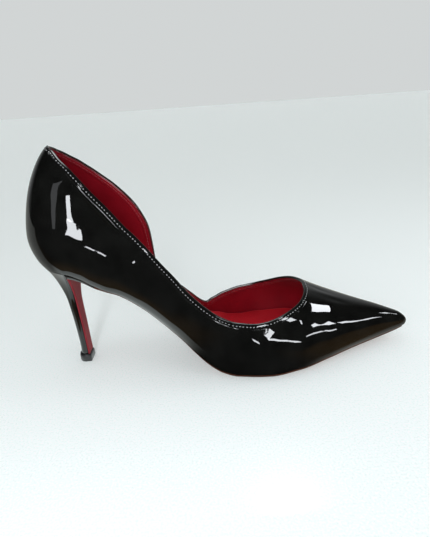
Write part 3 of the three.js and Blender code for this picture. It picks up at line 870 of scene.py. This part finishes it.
def capsule(around, along, radius, length):
    """Points and faces of one stitch that lies along X, flattened in Z."""
    turns = np.arange(around) / around * 2 * math.pi
    slides = np.linspace(-1, 1, along + 2)[1:-1]
    thick = np.sqrt(1 - np.abs(slides) ** 3)
    rings = []
    for slide, share in zip(slides, thick):
        x = np.full(around, slide * length / 2)
        y = share * radius * np.cos(turns)
        z = STITCH_FLAT * share * radius * np.sin(turns)
        rings.append(np.stack([x, y, z], 1))
    return stacked_rings(rings, (-length / 2, 0, 0), (length / 2, 0, 0))


# Both rows of stitches, in mm: how far below the topline and outside the wall they lie,
# from one stitch to the next, and a stitch's length and radius
EDGE_STITCH = {"down": 1.95, "height": 0.08, "pitch": 2.1, "length": 1.0, "radius": 0.31}
LINING_STITCH = {"down": 2.65, "height": -2.04, "pitch": 2.3, "length": 1.5, "radius": 0.26}


def stitch_row(name, stitch, material, slot):
    rail = on_wall(stitch["down"] * MM, stitch["height"] * MM)
    every = stitch["pitch"] * MM / TOPLINE_STEP
    stops = np.arange(0, len(rail), every).astype(int)
    radius, length = stitch["radius"] * MM, stitch["length"] * MM
    shape, shape_faces = capsule(STITCH_AROUND, STITCH_ALONG, radius, length)
    points, faces = [], []
    for stop in stops:
        along = unit(rail[(stop + 1) % len(rail)] - rail[stop - 1])
        side = unit(np.cross(path_out[stop], along))
        out = np.cross(along, side)
        start = len(points) * len(shape)
        points.append(rail[stop] + shape @ np.array([along, side, out]))
        faces += [tuple(start + i for i in f) for f in shape_faces]
    piece(name, np.concatenate(points), faces, material, slot)


# The edge stitches use the grey thread with painted glints
stitch_row("edge_stitches", EDGE_STITCH, PAINTED_GLINT_THREAD, "patent")
stitch_row("lining_stitches", LINING_STITCH, RED_THREAD, "insole")


def inset_outline(places, end, level, inset):
    """Both edges of a plate: the last's outline at a level, moved inward."""

    def at(side, place):
        rib = Rib(side, place)
        share = level(rib.x, side) / (rib.widest_z - rib.foot_z)
        climb = SHOULDER * math.acos(1 - min(1, share)) / QUARTER_TURN
        return rib.points([climb])[0]

    edges = []
    for side, sign in (("lateral", 1), ("medial", -1)):
        edge = []
        for place in places:
            after = at(side, min(end, place + PLACE_STEP))
            along = after - at(side, max(0, place - PLACE_STEP))
            p = at(side, place)
            reach = inset(p[0]) / (math.hypot(along[0], along[1]) * sign)
            p[0] += along[1] * reach
            p[1] = 0 if place in (0, 3) else p[1] - along[0] * reach
            edge.append(p)
        edges.append(np.array(edge))
    return edges


def plate_places(end, toe, straight, seat):
    """Places along a plate, with so many steps round the toe, along it and round the seat."""
    made = list(np.arange(toe) / toe) + list(np.linspace(1, 2, straight + 1))
    if end > 2:
        made += list(2 + np.arange(1, seat + 1) / seat)
    return made


def plate_face(places, level, inset, height, across):
    """A layer of a plate. Height is measured from the feather line."""
    right, left = inset_outline(places, places[-1], level, inset)
    shares = (1 - np.cos(np.linspace(0, math.pi, across + 1))) / 2
    points = right[:, None] + (left - right)[:, None] * shares[None, :, None]
    points[..., 2] = feather_z(points[..., 0]) + height(points[..., 0], shares)
    return points


def stacked_plate(layers):
    """Faces of a plate: its first layer is the top, its last the bottom, and only
    the outlines of the layers between are used."""
    top, bottom = layers[0], layers[-1]
    count, across = top.shape[:2]
    rim = [(i, 0) for i in range(count)] + [(count - 1, j) for j in range(1, across)]
    rim += [(i, across - 1) for i in range(count - 2, -1, -1)] + [(0, j) for j in range(across - 2, 0, -1)]
    size = count * across
    points = [top.reshape(-1, 3), bottom.reshape(-1, 3)]
    rings = [[i * across + j for i, j in rim]]
    base = 2 * size
    for middle in layers[1:-1]:
        points.append(np.array([middle[i, j] for i, j in rim]))
        rings.append(list(range(base, base + len(rim))))
        base += len(rim)
    rings.append([size + i * across + j for i, j in rim])
    faces = []
    for i in range(count - 1):
        for j in range(across - 1):
            a, b = i * across + j, (i + 1) * across + j
            faces.append((a, b, b + 1, a + 1))
            faces.append((size + a, size + a + 1, size + b + 1, size + b))
    for upper, lower in zip(rings, rings[1:]):
        for i in range(len(rim)):
            n = (i + 1) % len(rim)
            faces.append((upper[i], upper[n], lower[n], lower[i]))
    return np.concatenate(points), faces


def on_feather(x, side):
    """The level of the feather line itself."""
    return 0


# The sock: its distance from the lining, how far its underside draws in, its rolled
# edge with the turns that it takes, and steps across
SOCK_CLEAR = 0.5 * MM
SOCK_UNDERCUT = 3 * GAP
SOCK_ROLL = 1.0 * MM
SOCK_TURNS = (0, 22, 45, 67, 90)
SOCK_ACROSS = 14


def sock_piece():
    """The padded insole: a crowned top and a rolled edge against the lining."""
    places = plate_places(3, toe=20, straight=150, seat=30)
    inside = UPPER_WALL + SOCK_CLEAR

    def thick(x, across):
        raised = raise_at(at_x(x)) * np.maximum(0, 2 * across - 1) ** 2
        return INSOLE_THICKNESS * (sock_at(at_x(x)) + raised)

    def level(x, side):
        return thick(x, 0 if side == "lateral" else 1)

    def rolled(turn):
        lean = SOCK_ROLL * (1 - math.sin(math.radians(turn)))
        drop = SOCK_ROLL * (1 - math.cos(math.radians(turn)))
        return sheet(level, inside + lean, lambda x, y: thick(x, y) - drop)

    def sheet(level, inset, height):
        return plate_face(places, level, lambda x: inset, height, SOCK_ACROSS)

    under = sheet(on_feather, inside + SOCK_UNDERCUT, lambda x, y: 0 * x)
    points, faces = stacked_plate([*map(rolled, SOCK_TURNS), under])
    return piece("sock", points, faces, SOCK, "insole", "insole")


# The sole: its rounded edges, steps across, where the heel's cover hides it, and how
# far a face may lean before it counts as underside
SOLE_ROUND = 0.35 * MM
SOLE_ACROSS = 10
COVERED_UP_TO = 0.165
UNDERSIDE = -0.8


def sole_piece():
    """The outsole, with a thicker lip under the seat."""
    places = plate_places(2, toe=20, straight=200, seat=0)

    def thick(x):
        return OUTSOLE_THICKNESS * sole_at(at_x(x))

    def lean(x):
        return OUTSOLE_INSET + LIP_LEAN * MM * np.maximum(0, sole_at(at_x(x)) - 1)

    def sheet(inset, drop):
        return plate_face(places, on_feather, inset, lambda x, y: -square_gap(x) - drop(x), SOLE_ACROSS)

    layers = [
        sheet(lambda x: OUTSOLE_INSET + SOLE_ROUND, lambda x: 0),
        sheet(lambda x: OUTSOLE_INSET, lambda x: SOLE_ROUND),
        sheet(lean, lambda x: thick(x) - SOLE_ROUND),
        sheet(lambda x: lean(x) + SOLE_ROUND, thick),
    ]
    points, faces = stacked_plate(layers)
    made = piece("sole", points, faces, SOLE, "sole", "outsole")
    made.data.materials.append(SOLE_EDGE)
    made.data.materials.append(PATENT)
    covered = x_at(COVERED_UP_TO)
    for face in made.data.polygons:
        if face.normal.z > UNDERSIDE:
            face.material_index = 2 if face.center.x < covered else 1


sock = sock_piece()
sole_piece()

# Steps of the heel: round each side of the seat, across the breast, and down, where
# the rings lie closer together near the seat
SEAT_STEPS = 30
BREAST_STEPS = 12
HEEL_RINGS = 60
RING_SPREAD = 1.5
BREAST_X = HEEL_CENTRE - 2 * GAP

# The shaft's section: half width at the breast's corners, and where its back starts
SHAFT_CORNER = 0.92
SHAFT_SHOULDER = 0.35


def seat_rim():
    """Outline of the seat, from the outer breast corner round the back to the inner."""
    halves = {}
    for side in ("lateral", "medial"):
        ribs = [Rib(side, 2 + i / SEAT_STEPS) for i in range(SEAT_STEPS + 1)]
        halves[side] = np.array([rib.points([0])[0][:2] for rib in ribs])
        halves[side][0, 0] = BREAST_X
    across = np.linspace(halves["medial"][0, 1], halves["lateral"][0, 1], BREAST_STEPS + 1)[1:-1]
    front = np.stack([np.full(BREAST_STEPS - 1, BREAST_X), across], 1)
    return np.concatenate([halves["lateral"], halves["medial"][-2::-1], front])


def shaft_section(z, lip):
    """The shaft's section at each height: a round back and a flat breast."""
    up = z / HEEL_HEIGHT
    back = -shaft_of["back"](up) * LENGTH - lip
    front = -shaft_of["front"](up) * LENGTH - BREAST_COVER - GAP + lip
    half = shaft_of["half"](up) * BALL_WIDTH + lip
    corner = SHAFT_CORNER * half
    shoulder = lerp(front, back, SHAFT_SHOULDER)
    turns = np.concatenate([np.linspace(0, math.pi, 2 * SEAT_STEPS + 1), np.zeros(BREAST_STEPS - 1)])
    x = shoulder - (shoulder - back) * np.sin(turns)
    y = -half * np.cos(turns)
    last = 2 * SEAT_STEPS
    x[[0, last]] = front[[0, last]]
    y[0], y[last] = -corner[0], corner[last]
    shares = np.arange(1, BREAST_STEPS) / BREAST_STEPS
    x[last + 1:] = front[last + 1:]
    y[last + 1:] = lerp(corner[last + 1:], -corner[last + 1:], shares)
    return np.stack([x, y], 1)


def heel_ring(share):
    """A ring of the heel at a share of the way down from the seat to the top piece."""
    rim_xy = seat_rim()
    rim_z = feather_z(rim_xy[:, 0]) - square_gap(rim_xy[:, 0])
    z = lerp(rim_z, TOP_PIECE_HEIGHT + GAP, share**RING_SPREAD)
    depth = np.maximum(0, 1 - (rim_z - z) / SHAFT_FLARE)
    shaft = shaft_section(z, 0 * z)
    top = shaft_section(rim_z, 0 * z)
    along = (rim_xy[:, 0] - top[:, 0]) * depth**FLARE_ALONG
    across = (rim_xy[:, 1] - top[:, 1]) * depth**FLARE_ACROSS
    return np.stack([shaft[:, 0] + along, shaft[:, 1] + across, z], 1)


def heel_piece():
    rings = [heel_ring(k / HEEL_RINGS) for k in range(HEEL_RINGS + 1)]
    points, faces = stacked_rings(rings, rings[0].mean(0), rings[-1].mean(0))
    piece("heel_cover", points, faces, PATENT, "heel", "heel")


def breast_piece():
    """The red cover on the heel's flat front."""
    count = len(seat_rim())
    columns = [0] + [count - 1 - i for i in range(BREAST_STEPS)]
    lip = OUTSOLE_THICKNESS * sole_at(at_x(HEEL_CENTRE)) + 2 * GAP
    start = (lip / (feather_z(HEEL_CENTRE) - TOP_PIECE_HEIGHT)) ** (1 / RING_SPREAD)
    rings = [heel_ring(s)[columns] for s in np.linspace(start, 1, HEEL_RINGS + 1)]
    sheet = np.array(rings)
    outer = sheet + np.array([GAP + BREAST_COVER, 0, 0])
    inner = sheet + np.array([GAP, 0, 0])
    points, faces = stacked_plate([outer, inner])
    piece("breast_face", points, faces, BREAST, "breast", "breast_cover")


# Rings of the top piece: height as a share of its own, and share of its lip
TOP_PIECE_RINGS = table("z lip", (1.0, 0), (0.7, 1), (0.06, 1), (0, 0.4))


def top_piece():
    """The hard tip, which follows the shaft's section and stands out a little."""
    heights = TOP_PIECE_RINGS["z"] * TOP_PIECE_HEIGHT
    lips = TOP_PIECE_RINGS["lip"] * TOP_PIECE_LIP
    rings = []
    for z, lip in zip(heights, lips):
        flat = shaft_section(np.zeros(len(seat_rim())), lip)
        front = np.ones(len(flat), bool)
        front[1:-BREAST_STEPS + 1] = False
        front[2 * SEAT_STEPS] = True
        flat[front, 0] += BREAST_COVER + GAP
        rings.append(np.column_stack([flat, np.full(len(flat), z)]))
    points, faces = stacked_rings(rings, rings[0].mean(0), rings[-1].mean(0))
    piece("heel_tip", points, faces, RUBBER, "top_piece", "top_piece")


heel_piece()
breast_piece()
top_piece()


# The pale floor
FLOOR_REACH = 40
FLOOR_COLOUR = (0.82, 0.86, 0.855)
FLOOR_GLOW = 0.26

# What the gloss shows in the floor's place, a little below it. Pairs say over which X
# or Y an edge fades: the shelf's front edge, which turns towards the toe, its end ahead
# of the waist, its return by the toe, and its end behind the heel, which narrows
GLOSS_FLOOR = -0.5 * MM
SHELF_FRONT = (-0.054, -0.047)
SHELF_TURNS = (0.0, 0.1)
SHELF_TURNS_BY = 0.033
SHELF_ENDS_AHEAD = (-0.09, -0.045)
SHELF_BY_THE_TOE = (0.02, 0.08)
SHELF_TOE_SHARE = 0.35
SHELF_ENDS_BEHIND = (-0.23, -0.16)
SHELF_LEFT_BEHIND = 0.25
SHELF_NARROWS = (-0.045, 0.0)
SHELF_NARROWS_BY = 0.025
FRONT_FADES = (-0.15, -0.06)
SHELF_MIRRORED = (0.6, 0.66, 0.65)
FRONT_MIRRORED = (0.09, 0.05, 0.014)
MIRRORED_GLOW = 2.0


def floor_sheet(name, material, height, mirrored):
    """A wide sheet of floor that is either seen itself or shows only in the gloss."""
    mesh = bpy.data.meshes.new(name)
    near, far = -FLOOR_REACH, FLOOR_REACH
    corners = [(near, near, height), (far, near, height), (far, far, height), (near, far, height)]
    mesh.from_pydata(corners, [], [(0, 1, 2, 3)])
    made = bpy.data.objects.new(name, mesh)
    bpy.context.scene.collection.objects.link(made)
    mesh.materials.append(material)
    made.visible_glossy = mirrored
    if mirrored:
        made.visible_camera = False
        made.visible_diffuse = False
        made.visible_shadow = False


def span(nodes, links, source, start, end, low, high):
    """A soft step from low to high as the source goes from start to end."""
    made = nodes.new("ShaderNodeMapRange")
    made.interpolation_type = "SMOOTHSTEP"
    made.inputs["From Min"].default_value = start
    made.inputs["From Max"].default_value = end
    made.inputs["To Min"].default_value = low
    made.inputs["To Max"].default_value = high
    links.new(source, made.inputs["Value"])
    return made.outputs["Result"]


def combine(nodes, links, how, one, other):
    made = nodes.new("ShaderNodeMath")
    made.operation = how
    links.new(one, made.inputs[0])
    links.new(other, made.inputs[1])
    return made.outputs["Value"]


def socket(sockets, identifier):
    """A socket by its own identifier, because a mix node has several of one name."""
    return next(s for s in sockets if s.identifier == identifier)


def mirrored_floor():
    """What the gloss shows below the shoe: a dark room in front of a pale shelf, which
    ends under the ball and fades out behind the heel."""
    made, nodes, links, shader = material_nodes("mirrored_floor")
    split = nodes.new("ShaderNodeSeparateXYZ")
    links.new(place_of(nodes), split.inputs[0])
    along, across = split.outputs["X"], split.outputs["Y"]

    def fade(source, edge, low=0, high=1):
        return span(nodes, links, source, *edge, low, high)

    def both(how, one, other):
        return combine(nodes, links, how, one, other)

    waist = fade(along, SHELF_ENDS_AHEAD, 1, 0)
    toe_shelf = fade(along, SHELF_BY_THE_TOE, 0, SHELF_TOE_SHARE)
    toe_front = fade(along, SHELF_BY_THE_TOE)
    from_behind = both("SUBTRACT", along, fade(across, SHELF_NARROWS, 0, SHELF_NARROWS_BY))
    behind = fade(from_behind, SHELF_ENDS_BEHIND, SHELF_LEFT_BEHIND, 1)
    from_front = both("SUBTRACT", across, fade(along, SHELF_TURNS, 0, SHELF_TURNS_BY))
    shelf = both("MULTIPLY", fade(from_front, SHELF_FRONT), both("MAXIMUM", waist, toe_shelf))
    shelf = both("MULTIPLY", shelf, behind)
    front = both("MULTIPLY", fade(across, FRONT_FADES), both("MAXIMUM", waist, toe_front))
    front = both("MULTIPLY", front, behind)
    front = ramp(nodes, links, front, (0.0, (0, 0, 0)), (1.0, FRONT_MIRRORED))
    glow = nodes.new("ShaderNodeMix")
    glow.data_type = "RGBA"
    links.new(shelf, glow.inputs["Factor"])
    links.new(front, socket(glow.inputs, "A_Color"))
    socket(glow.inputs, "B_Color").default_value = (*SHELF_MIRRORED, 1)
    shader.inputs["Base Color"].default_value = (0, 0, 0, 1)
    shader.inputs["Specular IOR Level"].default_value = 0.0
    links.new(socket(glow.outputs, "Result_Color"), shader.inputs["Emission Color"])
    shader.inputs["Emission Strength"].default_value = MIRRORED_GLOW
    return made


def seen_floor():
    made = plain("floor_paper", FLOOR_COLOUR, 0.6, 0.2)
    shader = made.node_tree.nodes["Principled BSDF"]
    shader.inputs["Emission Color"].default_value = (*FLOOR_COLOUR, 1)
    shader.inputs["Emission Strength"].default_value = FLOOR_GLOW
    return made


def floor():
    """A pale floor, and what the leather mirrors in its place."""
    floor_sheet("floor", seen_floor(), 0, False)
    floor_sheet("floor_in_gloss", mirrored_floor(), GLOSS_FLOOR, True)


# The room: its colour, how bright it is seen and how brightly it lights, and what the
# gloss shows of it behind the shoe and overhead. Pairs after those say from which Y and
# Z of the direction
ROOM_COLOUR = (0.8, 0.83, 0.83)
ROOM_SEEN = 0.8
ROOM_LIGHT = 0.7
ROOM_MIRRORED = (0.004, 0.5)
ROOM_BEHIND = (0.25, 0.78)
CEILING_MIRRORED = 12
CEILING_OVERHEAD = (0.9, 0.98)


def world():
    """A pale room. In the gloss of the leather it is dark in front, pale behind and
    bright overhead."""
    made = bpy.data.worlds.new("room")
    made.use_nodes = True
    nodes, links = made.node_tree.nodes, made.node_tree.links
    background = nodes["Background"]
    background.inputs["Color"].default_value = (*ROOM_COLOUR, 1)
    rays = nodes.new("ShaderNodeLightPath")
    direction = nodes.new("ShaderNodeSeparateXYZ")
    links.new(nodes.new("ShaderNodeTexCoord").outputs["Generated"], direction.inputs[0])
    behind = span(nodes, links, direction.outputs["Y"], *ROOM_BEHIND, *ROOM_MIRRORED)
    overhead = span(nodes, links, direction.outputs["Z"], *CEILING_OVERHEAD, 0, CEILING_MIRRORED)
    both = combine(nodes, links, "MAXIMUM", behind, overhead)
    mirrored = nodes.new("ShaderNodeMix")
    mirrored.inputs["A"].default_value = ROOM_LIGHT
    links.new(rays.outputs["Is Glossy Ray"], mirrored.inputs["Factor"])
    links.new(both, mirrored.inputs["B"])
    seen = nodes.new("ShaderNodeMix")
    seen.inputs["B"].default_value = ROOM_SEEN
    links.new(rays.outputs["Is Camera Ray"], seen.inputs["Factor"])
    links.new(mirrored.outputs["Result"], seen.inputs["A"])
    links.new(seen.outputs["Result"], background.inputs["Strength"])
    bpy.context.scene.world = made


WINDOW_COLOUR = (0.93, 0.96, 1.0)

# Windows that show in the gloss: the spot in mm where each shows, azimuth, elevation,
# width, height and roll in degrees, how it glows, and its distance in metres
WINDOWS = (
    ("tall_window", (-105, -24, 112), 1.5, 24.2, 7.4, 23, 0, 19, 0.6),
    ("tall_window_foot", (-106, -27, 103), -0.8, 8.5, 10, 14, -18, 19, 0.24),
    ("grey_window", (-112, -22, 115), -14, 25, 6, 38, 0, 1.1, 0.6),
    ("upper_window", (-103, -18, 126), 9.6, 39, 1.6, 3, 0, 18, 0.6),
    ("quarter_streak", (-98, -28, 91), 1, -4.2, 2.6, 1.5, -40, 16, 0.6),
    ("high_window", (38, -22, 39), 95, 36.3, 14, 3.4, 13, 20, 0.6),
    ("toe_window", (88, -8, 24), 91, 28.5, 6, 2.5, 0, 14, 0.6),
    ("mid_pane", (37, -29, 32), 68.7, 19.8, 5, 5.4, 0, 19, 0.6),
    ("mid_glint", (60, -20, 27), 73, 18, 3.4, 3, 0, 17, 0.6),
    ("upper_pane", (19, -33, 37), 54, 34, 3.5, 7, -25, 18, 0.6),
    ("front_post", (7, -39, 33), 26, 7, 3.2, 18, -49, 19, 0.6),
    ("front_pane", (12, -40, 28), 25.5, 1, 15, 2.5, 13, 19, 0.6),
    ("low_pane", (-4, -41, 29), 3, -12.5, 6, 2.5, 0, 17, 0.1),
    ("side_strip", (38, -33, 26), 57, 9, 20, 2, 0, 15, 0.6),
)


def window(name, spot, azimuth, elevation, wide, high, roll, glow, distance):
    """A rectangular light. Azimuth 0 is in front of the shoe and 90 beyond its toe."""
    a, e = math.radians(azimuth), math.radians(elevation)
    away = Vector((math.sin(a) * math.cos(e), -math.cos(a) * math.cos(e), math.sin(e)))
    data = bpy.data.lights.new(name, "AREA")
    data.shape = "RECTANGLE"
    data.size = 2 * distance * math.tan(math.radians(wide / 2))
    data.size_y = 2 * distance * math.tan(math.radians(high / 2))
    data.energy = glow * math.pi * data.size * data.size_y
    data.color = WINDOW_COLOUR
    made = bpy.data.objects.new(name, data)
    turn = away.to_track_quat("Z", "Y").to_matrix().to_4x4()
    turn = turn @ Matrix.Rotation(math.radians(roll), 4, "Z")
    made.matrix_world = Matrix.Translation(Vector(spot) * MM + away * distance) @ turn
    made.visible_camera = False
    bpy.context.scene.collection.objects.link(made)


def lights():
    for row in WINDOWS:
        window(*row)


# Camera: sensor in mm, focal length and picture in pixels, angles in degrees, place in
# metres
SENSOR = 36
FOCAL_PIXELS = 430
PICTURE_HEIGHT = 537
CAMERA_DOWN = 21
CAMERA_ROLL = 4
CAMERA_PLACE = (-0.0249, -0.270, 0.1657)


def camera():
    """The photograph's view: a little above, from the outer side, rolled a little."""
    data = bpy.data.cameras.new("camera")
    made = bpy.data.objects.new("camera", data)
    bpy.context.scene.collection.objects.link(made)
    data.sensor_width = SENSOR
    data.lens = FOCAL_PIXELS * SENSOR / PICTURE_HEIGHT
    pitch = Matrix.Rotation(QUARTER_TURN - math.radians(CAMERA_DOWN), 4, "X")
    roll = Matrix.Rotation(-math.radians(CAMERA_ROLL), 4, "Z")
    made.matrix_world = Matrix.Translation(CAMERA_PLACE) @ pitch @ roll
    bpy.context.scene.camera = made


bpy.context.scene.view_settings.view_transform = "Standard"
floor()
world()
lights()
camera()
